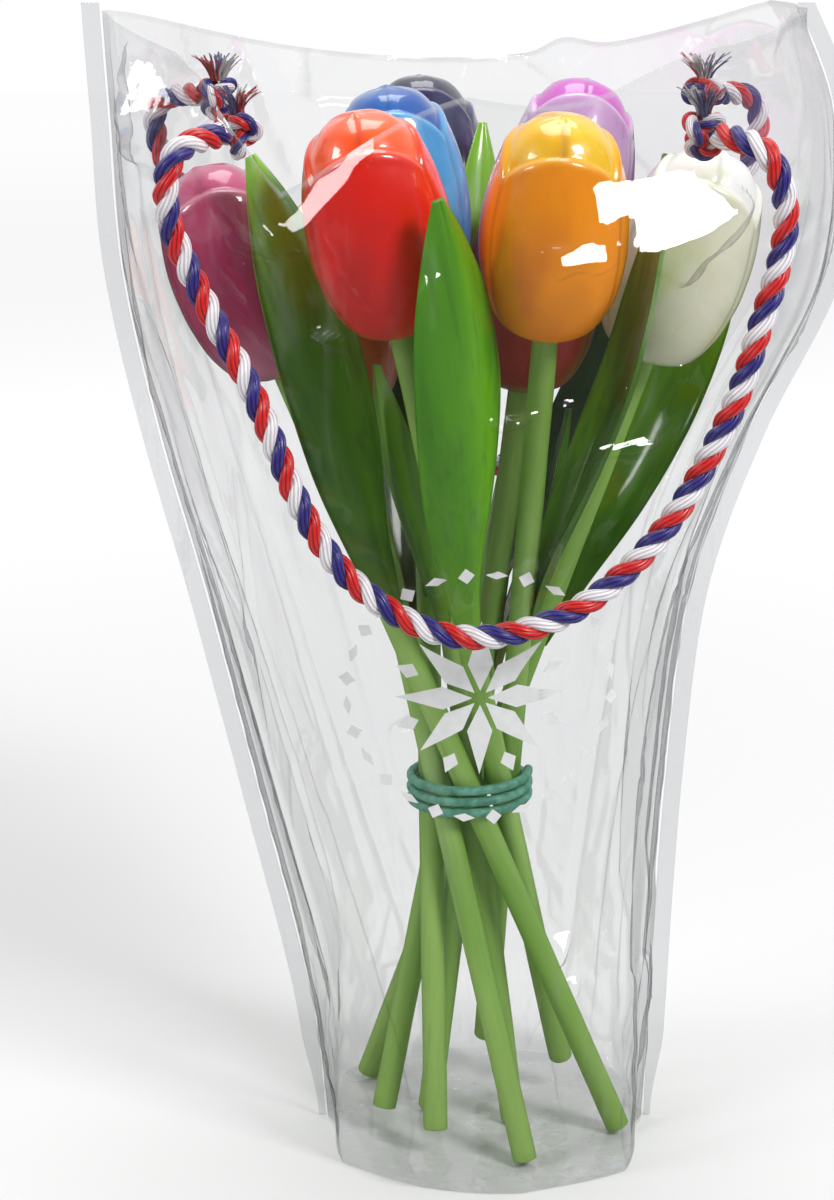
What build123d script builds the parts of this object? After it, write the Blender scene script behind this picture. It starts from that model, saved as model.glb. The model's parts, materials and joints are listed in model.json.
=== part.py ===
from build123d import *
from math import acos, cos, degrees, pi, radians, sin, sqrt, tan
import os

# A bunch of nine painted wooden tulips, held at the waist by a rubber band,
# standing on its stem ends inside a clear film bag with two corded handles.
# The origin is the middle of the bag's foot, Z is up, and the front is at -Y.
# Bearings turn in degrees from the front towards the right.

# Tulip
tulip_length = 343
head_length = 68
head_diameter = 43
petal_step = 1.1
core_step = 1.1
core_length = 62
outer_petal_length = 57
outer_arch_height = 17
inner_arch_height = 11
petal_count = 3
petal_turn = 90
stem_diameter = 7.8
bore_fit = 0.1
bore_depth = 22

# Leaf
leaf_width = 31
leaf_thickness = 3.4
leaf_edge = 1.2
leaf_reach = 28
leaf_rise = 54
leaf_overlap = 47
leaf_fit = 0.05
short_leaf_drop = 15
short_leaf_width = 20
short_leaf_reach = 12

# Bunch
waist_drop = 157
ring_radius = 12.8
middle_radius = 4.3
crown_drop = 43
crown_radius = 59
running_gap = 0.3
first_waist_bearing = 54
ring_count = 7

# The band sits a set drop below the heads, and the leaves end beside or below them.
waist_height = tulip_length - head_length - waist_drop
crown_height = tulip_length - crown_drop
leaf_length = waist_drop - leaf_rise + leaf_overlap
short_leaf_length = waist_drop - leaf_rise - short_leaf_drop

# Band
band_wire = 3
band_pitch = 3.7
band_half_turns = 5
band_gap = 0.7
band_samples = 24

# Bag
film = 0.5
head_room = 23
front_rim_drop = 21
back_rim_drop = 24
weld_width = 6
weld_thickness = 1.2
weld_lap = 3
depth_gap = 7.5
side_gap = 13.21
overrun = 10
side_share = 1.31

# The bag stands clear of the heads all round, and rises above them.
bag_height = tulip_length + head_room
bag_depth = crown_radius + head_diameter / 2 + depth_gap
left_reach = side_share * crown_radius + head_diameter / 2 + side_gap
right_reach = left_reach

# Handles
cord_diameter = 7.5
radius_share = 0.45
hole_diameter = 9
hole_height_share = 0.91
front_left_hole = -74
front_right_hole = 70
back_left_hole = -88
back_right_hole = 82
cord_exit = 13
knot_diameter = 15
knot_gap = 3
fray_length = 9
fray_diameter = 9

# Outline of a head: shares of its radius, and of its length from the bottom.
head_shares = [
    (0.34, 0.0),
    (0.66, 0.055),
    (0.89, 0.19),
    (0.985, 0.34),
    (1.0, 0.45),
    (0.975, 0.58),
    (0.89, 0.72),
    (0.74, 0.86),
    (0.52, 0.96),
    (0.2, 1.0),
]

# Sections of a leaf: shares of its length, its reach and its width, and the
# depth of its cup there as a share of half the width there.
leaf_shares = [
    (0.0, 0.0, 0.26, 0.75),
    (0.14, 0.16, 0.52, 0.6),
    (0.34, 0.5, 0.88, 0.42),
    (0.55, 0.8, 1.0, 0.34),
    (0.75, 0.96, 0.86, 0.32),
    (0.9, 1.0, 0.5, 0.3),
    (1.0, 0.98, 0.14, 0.25),
]

# One row for each tulip of the ring: name, bearing and reach of its head as a
# share of the crown's radius, its length and the rise of its foot as shares of a
# long tulip, the bearing of its leaf, and the leaf's width share and rise share.
ring_tulips = [
    ("red", -27, 1.0, 1.0, 0.032, 37, 1.0, 0.0),
    ("yellow", 22, 1.0, 1.0, 0.032, 101, 0.9, 0.0),
    ("white", 76, 1.15, 1.0, 0.0, 150, 1.0, 0.0),
    ("purple", 150, 1.04, 1.0, 0.023, 66, 1.0, 0.0),
    ("navy", 195, 1.0, 1.0, 0.023, 37, 0.85, 0.0),
    ("orange", 236, 1.08, 0.92, 0.0, 174, 1.0, 0.0),
    ("raspberry", 280, side_share, 1.0, 0.0, 40, 1.0, 0.13),
]

# The two tulips inside the ring, with the bearing of their stem at the waist last.
inner_tulips = [
    ("blue", 278, 0.37, 1.0, 0.0, 306, 1.0, 0.0, 8),
    ("crimson", 100, 0.37, 0.92, 0.0, 92, 1.0, -0.2, 171),
]

# Sections of the bag: shares of its height, its left and right reach, its depth.
hole_shares = (hole_height_share, 0.985, 0.975, 1.0)
bag_shares = [
    (0.0, 0.42, 0.52, 0.645),
    (0.12, 0.46, 0.53, 0.64),
    (0.32, 0.61, 0.56, 0.61),
    (0.5, 0.75, 0.62, 0.76),
    (0.64, 0.87, 0.77, 0.92),
    (0.78, 0.96, 0.97, 1.0),
    hole_shares,
    (1.0, 1.0, 0.86, 0.94),
]

# Routes of the handles between the holes at their ends, as they hang.
front_route = [
    (-87, -79, 325),
    (-87, -74, 310),
    (-81, -71, 295),
    (-74, -73, 281),
    (-65, -78, 266),
    (-58, -80, 249),
    (-51, -80, 230),
    (-41, -79, 212),
    (-26, -78, 198),
    (-8, -77, 189),
    (12, -76, 190),
    (31, -73, 197),
    (47, -70, 210),
    (60, -67, 226),
    (69, -67, 244),
    (76, -69, 261),
    (80, -72, 279),
    (85, -72, 296),
    (87, -75, 312),
    (83, -80, 326),
]
back_route = [
    (-104, 68, 325),
    (-100, 64, 310),
    (-90, 65, 295),
    (-80, 70, 277),
    (-70, 75, 258),
    (-58, 79, 239),
    (-43, 79, 222),
    (-25, 78, 209),
    (-5, 77, 203),
    (15, 77, 206),
    (33, 75, 216),
    (49, 72, 230),
    (61, 71, 247),
    (71, 71, 265),
    (78, 72, 284),
    (86, 70, 297),
    (93, 69, 310),
    (96, 70, 325),
]


def place(bearing, reach, height):
    """The point at a bearing and a reach from the Z axis."""
    return Vector(reach * sin(radians(bearing)), -reach * cos(radians(bearing)), height)


def egg(inset, length):
    """The outline of a head from its axis, drawn in by an inset."""
    radius = head_diameter / 2 - inset
    points = [(share * radius, rise_share * length) for share, rise_share in head_shares]
    Spline(points)
    Polyline(points[-1], (0, length), (0, 0), points[0])


def petals(inset, length, arch_height, turn):
    """A layer of petals: an egg cut by an arch for each petal."""
    half_width = head_diameter / 2 * sin(pi / petal_count)
    spring = length - arch_height
    with BuildPart() as arches:
        for petal in range(petal_count):
            angle = radians(turn) + petal * 2 * pi / petal_count
            facing = Plane(
                origin=(0, 0, 0),
                x_dir=(cos(angle), sin(angle), 0),
                z_dir=(sin(angle), -cos(angle), 0),
            )
            with BuildSketch(facing):
                with BuildLine():
                    ThreePointArc((-half_width, spring), (0, length), (half_width, spring))
                    Polyline((half_width, spring), (half_width, 0), (-half_width, 0), (-half_width, spring))
                make_face()
            extrude(amount=head_diameter)
    with BuildPart() as layer:
        with BuildSketch(Plane.XZ):
            with BuildLine():
                egg(inset, head_length)
            make_face()
        revolve(axis=Axis.Z)
        add(arches.part, mode=Mode.INTERSECT)
    return layer.part


# Head, standing on its own bottom, bored for the stem
with BuildPart() as head_form:
    with BuildSketch(Plane.XZ):
        with BuildLine():
            egg(petal_step + core_step, core_length)
        make_face()
    revolve(axis=Axis.Z)
    add(petals(petal_step, head_length, inner_arch_height, petal_turn + 180 / petal_count))
    add(petals(0, outer_petal_length, outer_arch_height, petal_turn))
    Cylinder(
        stem_diameter / 2 + bore_fit,
        bore_depth,
        align=(Align.CENTER, Align.CENTER, Align.MIN),
        mode=Mode.SUBTRACT,
    )


def stem_form(length):
    """The stem of a tulip of some length, standing on its foot."""
    stem_length = length - head_length + bore_depth
    with BuildPart() as dowel:
        Cylinder(stem_diameter / 2, stem_length, align=(Align.CENTER, Align.CENTER, Align.MIN))
    return dowel.part


def leaf_form(length, width, reach):
    """A cupped blade beside a stem along Z, hollowed where it sits on the stem."""
    spine = [(leaf_edge + share * reach, rise * length) for rise, share, _, _ in leaf_shares]
    with BuildPart() as blade:
        for index, (_, _, width_share, cup_share) in enumerate(leaf_shares):
            before = spine[max(index - 1, 0)]
            after = spine[min(index + 1, len(spine) - 1)]
            out, up = spine[index]
            half = width_share * width / 2
            cup = cup_share * half
            thick = leaf_edge + (leaf_thickness - leaf_edge) * sqrt(width_share)
            section = Plane(
                origin=(stem_diameter / 2 + out, 0, up),
                x_dir=(0, 1, 0),
                z_dir=(after[0] - before[0], 0, after[1] - before[1]),
            )
            with BuildSketch(section):
                with BuildLine():
                    ThreePointArc((-half, cup), (0, 0), (half, cup))
                    Line((half, cup), (half, cup + leaf_edge))
                    ThreePointArc((half, cup + leaf_edge), (0, thick), (-half, cup + leaf_edge))
                    Line((-half, cup + leaf_edge), (-half, cup))
                make_face()
        loft()
        Cylinder(stem_diameter / 2 + leaf_fit, 3 * length, mode=Mode.SUBTRACT)
    return blade.part


def tulip_plane(waist, head, rise, bearing):
    """The plane at a tulip's foot: Z runs up its stem, and X faces the bearing."""
    axis = (head - waist).normalized()
    tilt = radians(axis.get_angle(Vector(0, 0, 1)))
    foot_height = film + running_gap + stem_diameter / 2 * sin(tilt) + rise
    foot = waist + axis * ((foot_height - waist_height) / axis.Z)
    facing = place(bearing, tulip_length, 0)
    return Plane(origin=foot, x_dir=facing - axis * facing.dot(axis), z_dir=axis)


tulips = []
for index, row in enumerate(ring_tulips):
    waist_bearing = first_waist_bearing + index * 360 / ring_count
    waist = place(waist_bearing, ring_radius, waist_height)
    tulips.append((row, waist, leaf_length, leaf_width, leaf_reach))
for *row, waist_bearing in inner_tulips:
    waist = place(waist_bearing, middle_radius, waist_height)
    tulips.append((row, waist, short_leaf_length, short_leaf_width, short_leaf_reach))

pieces = []
for row, waist, blade_length, blade_width, blade_reach in tulips:
    name, head_bearing, reach_share, length_share, rise_share, leaf_bearing, width_share, leaf_share = row
    head_place = place(head_bearing, reach_share * crown_radius, crown_height)
    length = length_share * tulip_length
    rise = rise_share * tulip_length
    faced = tulip_plane(waist, head_place, rise, 0)
    turned = tulip_plane(waist, head_place, rise, leaf_bearing)
    with BuildPart() as stem:
        add(stem_form(length).moved(faced.location))
    stem.part.label = name + "_stem"
    pieces.append(stem.part)
    seat = faced.offset(length - head_length)
    with BuildPart() as head:
        add(head_form.part.moved(seat.location))
    head.part.label = name + "_head"
    pieces.append(head.part)
    heel = turned.offset(waist_height + leaf_rise + leaf_share * blade_length)
    with BuildPart() as blade:
        add(leaf_form(blade_length, width_share * blade_width, blade_reach).moved(heel.location))
    blade.part.label = name + "_leaf"
    pieces.append(blade.part)
    tilt = faced.z_dir.get_angle(Vector(0, 0, 1))
    print(name, "axis", [round(share, 6) for share in faced.z_dir], "tilt", round(tilt, 1))


def biarc(start, start_way, end, end_way):
    """Two arcs that leave and meet the given points along the given ways."""
    chord = end - start
    ways = start_way + end_way
    spread = 2 * (1 - start_way.dot(end_way))
    along = chord.dot(ways)
    step = (sqrt(along * along + spread * chord.dot(chord)) - along) / spread
    middle = (start + end + (start_way - end_way) * step) / 2
    TangentArc(start, middle, tangent=start_way)
    TangentArc(middle, end, tangent=chord - ways * step)


# Band: one rubber wire wound round the waist
band_radius = ring_radius + stem_diameter / 2 + band_gap + band_wire / 2
band_rise = band_pitch / 2
band_foot = waist_height - band_half_turns * band_rise / 2
band_length = band_half_turns * sqrt((pi * band_radius) ** 2 + band_rise**2)


def band_point(quarter):
    """The point and the way of the band's wire after some quarter turns."""
    angle = pi + quarter * pi / 2
    slope = band_rise / (pi * band_radius)
    point = Vector(band_radius * cos(angle), band_radius * sin(angle), band_foot + quarter * band_rise / 2)
    return point, Vector(-sin(angle), cos(angle), slope).normalized()


with BuildPart() as band:
    with BuildLine() as winding:
        for quarter in range(2 * band_half_turns):
            start, start_way = band_point(quarter)
            end, end_way = band_point(quarter + 1)
            biarc(start, start_way, end, end_way)
    first_point, first_way = band_point(0)
    with BuildSketch(Plane(origin=first_point, z_dir=first_way)):
        Circle(band_wire / 2)
    sweep(path=winding.line)
band.part.label = "rubber_band"
pieces.append(band.part)
steps = range(band_half_turns * band_samples + 1)
wire_points = [band_point(2 * step / band_samples)[0] for step in steps]
gaps = []
for index, point in enumerate(wire_points):
    for other in wire_points[index + band_samples:]:
        gaps.append((other - point).length - band_wire)
print("band gap to itself", round(min(gaps), 3))
print("band volume", round(band.part.volume), "against", round(pi * band_wire**2 / 4 * band_length))


def bag_form(inset):
    """The bag as a solid, drawn in by an inset."""
    with BuildPart() as form:
        for height_share, left_share, right_share, depth_share in bag_shares:
            left = left_share * left_reach - inset
            right = right_share * right_reach - inset
            middle = ((right - left) / 2, 0, height_share * bag_height)
            with BuildSketch(Plane(origin=middle)):
                Ellipse((left + right) / 2, depth_share * bag_depth - inset)
        loft()
    return form.part


bag_outside = bag_form(0)
bag_inside = bag_form(film)


def hole_plane(across, side):
    """The plane of a handle's hole: its origin in the film, and Z outwards."""
    _, left_share, right_share, depth_share = hole_shares
    left = left_share * left_reach
    right = right_share * right_reach
    middle = (right - left) / 2
    half = (left + right) / 2
    depth = depth_share * bag_depth
    reach = sqrt(1 - ((across - middle) / half) ** 2)
    outwards = Vector((across - middle) / half**2, side * reach / depth, 0).normalized()
    return Plane(origin=(across, side * depth * reach, hole_height_share * bag_height), z_dir=outwards)


front_holes = [hole_plane(front_left_hole, -1), hole_plane(front_right_hole, -1)]
back_holes = [hole_plane(back_left_hole, 1), hole_plane(back_right_hole, 1)]


def panel(side, rim_drop, holes):
    """One film of the bag, with its curved rim and its handle's holes."""
    left = left_reach + weld_width
    right = bag_shares[-1][2] * right_reach + weld_width
    top = bag_height + overrun
    with BuildPart() as sheet:
        add(bag_outside)
        add(bag_inside, mode=Mode.SUBTRACT)
        with BuildSketch():
            Rectangle(2 * (left_reach + overrun), 2 * (bag_depth + overrun))
        extrude(amount=film, mode=Mode.SUBTRACT)
        with BuildSketch(Plane.XZ):
            with BuildLine():
                ThreePointArc((-left, bag_height), (0, bag_height - rim_drop), (right, bag_height))
                Polyline((right, bag_height), (right, top), (-left, top), (-left, bag_height))
            make_face()
        extrude(amount=-side * (bag_depth + overrun), mode=Mode.SUBTRACT)
        with BuildSketch(Plane.XZ):
            Rectangle(2 * (left_reach + overrun), 4 * bag_height)
        extrude(amount=side * (bag_depth + overrun), mode=Mode.SUBTRACT)
        with Locations(*holes):
            Cylinder(hole_diameter / 2, 2 * overrun, mode=Mode.SUBTRACT)
    return sheet.part


with BuildPart() as bag_front:
    add(panel(-1, front_rim_drop, front_holes))
bag_front.part.label = "bag_front_film"
with BuildPart() as bag_back:
    add(panel(1, back_rim_drop, back_holes))
bag_back.part.label = "bag_back_film"
with BuildPart() as bag_foot:
    with BuildSketch():
        Rectangle(2 * (left_reach + overrun), 2 * (bag_depth + overrun))
    extrude(amount=film)
    add(bag_outside, mode=Mode.INTERSECT)
bag_foot.part.label = "bag_foot_film"


def weld(side, reaches):
    """The strip where the two films are welded, outside the bag's wall."""
    heights = [row[0] * bag_height for row in bag_shares]
    outer = [(side * (reach + weld_width), height) for reach, height in zip(reaches, heights)]
    inner = [(side * (reach - weld_lap), height) for reach, height in zip(reaches, heights)]
    with BuildPart() as strip:
        with BuildSketch(Plane.XZ):
            with BuildLine():
                Spline(outer)
                Line(outer[-1], inner[-1])
                Spline(inner)
                Line(inner[0], outer[0])
            make_face()
        extrude(amount=weld_thickness / 2, both=True)
        add(bag_outside, mode=Mode.SUBTRACT)
    return strip.part


with BuildPart() as left_weld:
    add(weld(-1, [row[1] * left_reach for row in bag_shares]))
left_weld.part.label = "bag_left_weld"
with BuildPart() as right_weld:
    add(weld(1, [row[2] * right_reach for row in bag_shares]))
right_weld.part.label = "bag_right_weld"
pieces += [bag_front.part, bag_back.part, bag_foot.part, left_weld.part, right_weld.part]


def handle(name, holes, route):
    """A cord through two holes and the route between them, plain from end to end."""
    inner = -(film + knot_gap)
    outer = cord_exit
    points = [holes[0].from_local_coords((0, 0, inner)), holes[0].from_local_coords((0, 0, outer))]
    points += [Vector(point) for point in route]
    points += [holes[1].from_local_coords((0, 0, outer)), holes[1].from_local_coords((0, 0, inner))]
    radii = []
    for before, corner, after in zip(points, points[1:], points[2:]):
        turn = radians((corner - before).get_angle(after - corner))
        shorter = min((corner - before).length, (after - corner).length)
        radii.append(radius_share * shorter / tan(turn / 2))
    print(name, "radii", [round(radius) for radius in radii])
    with BuildPart() as cord:
        with BuildLine() as route_line:
            FilletPolyline(*points, radius=radii)
        with BuildSketch(Plane(origin=points[0], z_dir=points[1] - points[0])):
            Circle(cord_diameter / 2)
        sweep(path=route_line.line)
    length = sum(edge.length for edge in route_line.edges())
    print(name, "length", round(length), "volume", round(cord.part.volume), "against",
          round(pi * cord_diameter**2 / 4 * length))
    cord.part.label = name
    return cord.part


pieces.append(handle("front_cord", front_holes, front_route))
pieces.append(handle("back_cord", back_holes, back_route))


# A knot is a ball cut flat where the cord leaves it, as wide there as the cord.
knot_latitude = degrees(acos(cord_diameter / knot_diameter))
knot_middle = knot_diameter / 2 * sin(radians(knot_latitude))


def knot(name, hole):
    """A knot inside the film, flat where the cord leaves it, with its frayed end up."""
    face = hole.from_local_coords((0, 0, -film - knot_gap))
    inwards = Plane(origin=face, x_dir=(0, 0, 1), z_dir=-hole.z_dir)
    with BuildPart() as lump:
        with Locations(inwards.offset(knot_middle)):
            Sphere(knot_diameter / 2, arc_size1=-knot_latitude, arc_size2=knot_latitude)
        with Locations(inwards.from_local_coords((0, 0, knot_middle))):
            Cone(
                cord_diameter / 2,
                fray_diameter / 2,
                knot_diameter / 2 + fray_length,
                align=(Align.CENTER, Align.CENTER, Align.MIN),
            )
    lump.part.label = name
    return lump.part


for name, hole in [
    ("front_left_knot", front_holes[0]),
    ("front_right_knot", front_holes[1]),
    ("back_left_knot", back_holes[0]),
    ("back_right_knot", back_holes[1]),
]:
    pieces.append(knot(name, hole))

os.makedirs("parts", exist_ok=True)
for piece in pieces:
    export_step(piece, "parts/" + piece.label + ".step")
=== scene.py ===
"""Looks of a bunch of painted wooden tulips in a clear film bag: metres, Z up, front at -Y."""

import json
import logging
import math
import random
from dataclasses import dataclass
from enum import Enum
from typing import Sequence

import bmesh
import bpy
from mathutils import Matrix, Vector, noise


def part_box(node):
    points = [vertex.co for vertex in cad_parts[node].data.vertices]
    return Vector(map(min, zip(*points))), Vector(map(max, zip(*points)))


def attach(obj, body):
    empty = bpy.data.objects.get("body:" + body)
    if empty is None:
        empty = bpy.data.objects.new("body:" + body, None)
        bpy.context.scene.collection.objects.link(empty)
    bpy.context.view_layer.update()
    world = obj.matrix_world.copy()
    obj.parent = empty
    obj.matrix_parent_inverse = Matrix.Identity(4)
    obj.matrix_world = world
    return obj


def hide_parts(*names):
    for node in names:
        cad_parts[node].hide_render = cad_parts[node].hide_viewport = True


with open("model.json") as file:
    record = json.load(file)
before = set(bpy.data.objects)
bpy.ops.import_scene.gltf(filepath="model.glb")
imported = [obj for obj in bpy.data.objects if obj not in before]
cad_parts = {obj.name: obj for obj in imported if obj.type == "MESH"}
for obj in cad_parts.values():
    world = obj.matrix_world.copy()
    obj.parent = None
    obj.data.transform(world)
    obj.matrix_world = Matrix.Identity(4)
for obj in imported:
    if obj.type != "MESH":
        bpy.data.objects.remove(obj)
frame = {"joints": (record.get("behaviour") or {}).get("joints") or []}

log = logging.getLogger("tulips")
MM = 0.001
Rgb = tuple[float, float, float]
Socket = bpy.types.NodeSocket
Value = Socket | float
Colour = Socket | Rgb
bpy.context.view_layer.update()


def paint(red: float, green: float, blue: float) -> Rgb:
    """Turns a colour as a screen shows it into a linear one.

    Args:
        red, green, blue: Shares of full brightness, as displayed.
    Returns:
        The linear colour.
    """
    return tuple(c / 12.92 if c <= 0.04045 else ((c + 0.055) / 1.055) ** 2.4 for c in (red, green, blue))


def blend(low: float, high: float, value: float) -> float:
    """Rises smoothly from 0 at low to 1 at high.

    Args:
        low, high: The ends of the rise.
        value: Where to read it.
    Returns:
        A share from 0 to 1.
    """
    share = min(max((value - low) / (high - low), 0.0), 1.0)
    return share * share * (3 - 2 * share)


def bell(off: float) -> float:
    """Gives a bell curve's height.

    Args:
        off: The distance from its middle, in widths.
    Returns:
        A share from 0 to 1.
    """
    return math.exp(-(off**2))


def beside(line: Sequence, index: int) -> tuple:
    """Gives the two items beside one in a line, or that one itself at an end.

    Args:
        line: The items.
        index: The one between them.
    Returns:
        The item before and the item after.
    """
    return line[max(index - 1, 0)], line[min(index + 1, len(line) - 1)]


def placed(name: str, data: bpy.types.ID) -> bpy.types.Object:
    """Puts a new object into the scene.

    Args:
        name: Its name.
        data: Its mesh, curve, lamp or camera.
    Returns:
        The object.
    """
    made = bpy.data.objects.new(name, data)
    bpy.context.scene.collection.objects.link(made)
    return made


def through(rows: Sequence[Sequence[float]], count: int) -> list[list[float]]:
    """Samples a smooth line through rows of numbers, as many between each two.

    Args:
        rows: The rows that the line passes through.
        count: Samples from one row to the next.
    Returns:
        The samples, the last row included.
    """
    samples = []
    for index in range(len(rows) - 1):
        a = rows[max(index - 1, 0)]
        b, c = rows[index], rows[index + 1]
        d = rows[min(index + 2, len(rows) - 1)]
        for step in range(count):
            t = step / count
            samples.append([
                0.5 * (2 * q + (r - p) * t + (2 * p - 5 * q + 4 * r - s) * t * t
                       + (3 * q - p - 3 * r + s) * t**3)
                for p, q, r, s in zip(a, b, c, d)
            ])
    samples.append(list(rows[-1]))
    return samples


def ring(centre: Vector, across: Vector, up: Vector, radius: float, sides: int, shares: tuple) -> list[tuple]:
    """Places points in a ring.

    Args:
        centre: Its middle.
        across, up: Two directions square to each other, in its plane.
        radius: Its radius.
        sides: How many points it has.
        shares: The shares that each point carries.
    Returns:
        The points, as (place, own place, shares).
    """
    row = []
    for side in range(sides):
        angle = side * 2 * math.pi / sides
        place = centre + (across * math.cos(angle) + up * math.sin(angle)) * radius
        row.append((place, place, shares))
    return row


class Body(Enum):
    """The bodies that do not belong to one tulip."""

    BAG = "bag"
    BUNCH = "bunch"


class Nodes:
    """A tree of nodes under construction."""

    def __init__(self, tree: bpy.types.NodeTree) -> None:
        self.tree = tree

    def node(self, kind: str, settings: dict | None = None, **inputs: object) -> bpy.types.Node:
        """Adds a node, sets its properties and fills or links its inputs.

        Args:
            kind: The node's type after ShaderNode.
            settings: Properties of the node itself.
            inputs: Values or sockets by input name, with _ for a space.
        Returns:
            The node.
        """
        made = self.tree.nodes.new("ShaderNode" + kind)
        for key, value in (settings or {}).items():
            setattr(made, key, value)
        for key, value in inputs.items():
            socket = made.inputs[int(key[1:])] if key[1:].isdigit() else made.inputs[key.replace("_", " ")]
            if isinstance(value, Socket):
                self.tree.links.new(value, socket)
            elif isinstance(value, tuple) and len(value) == 3 and socket.type == "RGBA":
                socket.default_value = (*value, 1.0)
            else:
                socket.default_value = value
        return made


class Shader(Nodes):
    """A material under construction, with the nodes that its finishes share."""

    def __init__(self, name: str) -> None:
        self.material = bpy.data.materials.new(name)
        self.material.use_nodes = True
        super().__init__(self.material.node_tree)
        self.tree.nodes.clear()
        self.out = self.tree.nodes.new("ShaderNodeOutputMaterial")

    def attribute(self, name: str) -> Socket:
        """Reads a share that the mesh carries."""
        return self.node("Attribute", {"attribute_name": name}).outputs["Fac"]

    def local(self, scale: Rgb) -> Socket:
        """Reads the piece's own coordinates, stretched."""
        own = self.node("Attribute", {"attribute_name": "local"}).outputs["Vector"]
        return self.node("Mapping", Vector=own, Scale=scale).outputs["Vector"]

    def ramp(self, value: Socket, low: float, high: float, start: float = 0.0, end: float = 1.0) -> Socket:
        """Turns a value into a smooth rise between two limits."""
        settings = {"interpolation_type": "SMOOTHSTEP"}
        return self.node("MapRange", settings, i0=value, i1=low, i2=high, i3=start, i4=end).outputs[0]

    def noise(self, scale: Rgb, detail: float = 3.0, rough: float = 0.55) -> Socket:
        """Adds noise on the piece's own coordinates."""
        made = self.node("TexNoise", Vector=self.local(scale), Scale=1.0, Detail=detail, Roughness=rough)
        return made.outputs[0]

    def mix(self, share: Value, first: Colour, second: Colour) -> Socket:
        """Mixes two colours."""
        made = self.node("Mix", {"data_type": "RGBA"}, i0=share, i6=first, i7=second)
        return made.outputs[2]

    def layered(self, base: Colour, layers: Sequence[tuple]) -> Colour:
        """Lays colours over a base, one after another.

        Args:
            base: The base colour, linear, or its socket.
            layers: Each layer's share and its colour as displayed.
        Returns:
            The socket with the colour.
        """
        for share, colour in layers:
            base = self.mix(share, base, paint(*colour))
        return base

    def sum(self, operation: str, *values: Value) -> Socket:
        """Does one sum."""
        inputs = {f"i{index}": value for index, value in enumerate(values)}
        return self.node("Math", {"operation": operation}, **inputs).outputs[0]

    def times(self, first: Value, second: Value) -> Socket:
        """Multiplies two sockets or numbers."""
        return self.sum("MULTIPLY", first, second)

    def bump(self, height: Socket, depth: float) -> Socket:
        """Turns a height into a normal."""
        return self.node("Bump", Strength=1.0, Distance=depth, Height=height).outputs["Normal"]

    def surface(self, **inputs: object) -> bpy.types.Material:
        """Ends the material in a principled surface, with its inputs by name."""
        return self.ended(self.node("BsdfPrincipled", **inputs).outputs[0])

    def ended(self, socket: Socket) -> bpy.types.Material:
        """Ends the material in a shader's socket."""
        self.tree.links.new(socket, self.out.inputs["Surface"])
        return self.material


@dataclass(frozen=True)
class HeadPaint:
    """The colours of a head as displayed, and where they turn into each other."""

    outer: Rgb
    inner: Rgb
    foot: Rgb
    # edge: the paler colour of the painted highlight along the petal rims.
    edge: Rgb
    # shade: a darker tone laid in random clouds; darkened further, it is the painted shade in the seams and
    # valleys.
    shade: Rgb
    foot_reach: float = 0.3

    def material(self, name: str) -> bpy.types.Material:
        """Makes the lacquered paint.

        Args:
            name: The material's name.
        Returns:
            The material.
        """
        s = Shader(name)
        streaks = s.noise((260, 260, 26), 4.0, 0.6)
        clouds = s.noise((46, 46, 30), 2.0, 0.5)
        colour = s.layered(paint(*self.inner), (
            (s.attribute("outer"), self.outer),
            (s.ramp(clouds, 0.42, 0.72, 0.0, 0.75), self.shade),
            (s.ramp(s.attribute("rise"), self.foot_reach, 0.02, 0.0, 0.85), self.foot),
            # Painted highlight: a paler colour laid along each petal's rim, where the rolled edge catches the
            # light.
            (s.times(s.attribute("edge"), 0.55), self.edge),
            (s.ramp(streaks, 0.55, 0.8, 0.0, 0.35), self.foot),
            # Painted shade: the seams between the outer petals and the valleys between the inner ones are
            # darkened.
            (s.times(s.attribute("groove"), 0.6), [0.45 * c for c in self.shade]),
        ))
        grain = s.noise((420, 420, 40), 3.0, 0.6)
        return s.surface(
            Base_Color=colour,
            Roughness=s.ramp(clouds, 0.3, 0.7, 0.3, 0.42),
            Normal=s.bump(grain, 0.00012),
            Coat_Weight=1.0,
            Coat_Roughness=0.05,
            Coat_IOR=1.5,
        )


@dataclass(frozen=True)
class GreenPaint:
    """Brushed greens along a leaf or stem, as displayed."""

    light: Rgb
    dark: Rgb
    foot: Rgb
    tip: Rgb
    rough: float = 0.35
    coat: float = 0.8

    def material(self, name: str) -> bpy.types.Material:
        """Makes the brushed paint.

        Args:
            name: The material's name.
        Returns:
            The material.
        """
        s = Shader(name)
        broad = s.noise((60, 60, 8), 3.0, 0.55)
        fine = s.noise((320, 320, 14), 3.0, 0.6)
        colour = s.layered(paint(*self.dark), (
            (s.ramp(broad, 0.36, 0.64), self.light),
            # Painted shade: one half of each leaf, across its width, is darker, as the half turned from the
            # light; a stem sits at the middle share and takes an even part of it.
            (s.ramp(s.attribute("side"), 0.35, 0.75, 0.65, 0.0), self.dark),
            (s.ramp(s.attribute("rise"), 0.55, 1.0, 0.0, 0.7), self.tip),
            (s.ramp(s.attribute("rise"), 0.3, 0.0, 0.0, 0.6), self.foot),
            (s.ramp(fine, 0.5, 0.75, 0.0, 0.32), [0.75 * c for c in self.dark]),
        ))
        return s.surface(
            Base_Color=colour,
            Roughness=s.ramp(fine, 0.3, 0.7, self.rough, self.rough + 0.15),
            Normal=s.bump(fine, 0.0001),
            Coat_Weight=self.coat,
            Coat_Roughness=0.12,
        )


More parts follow.
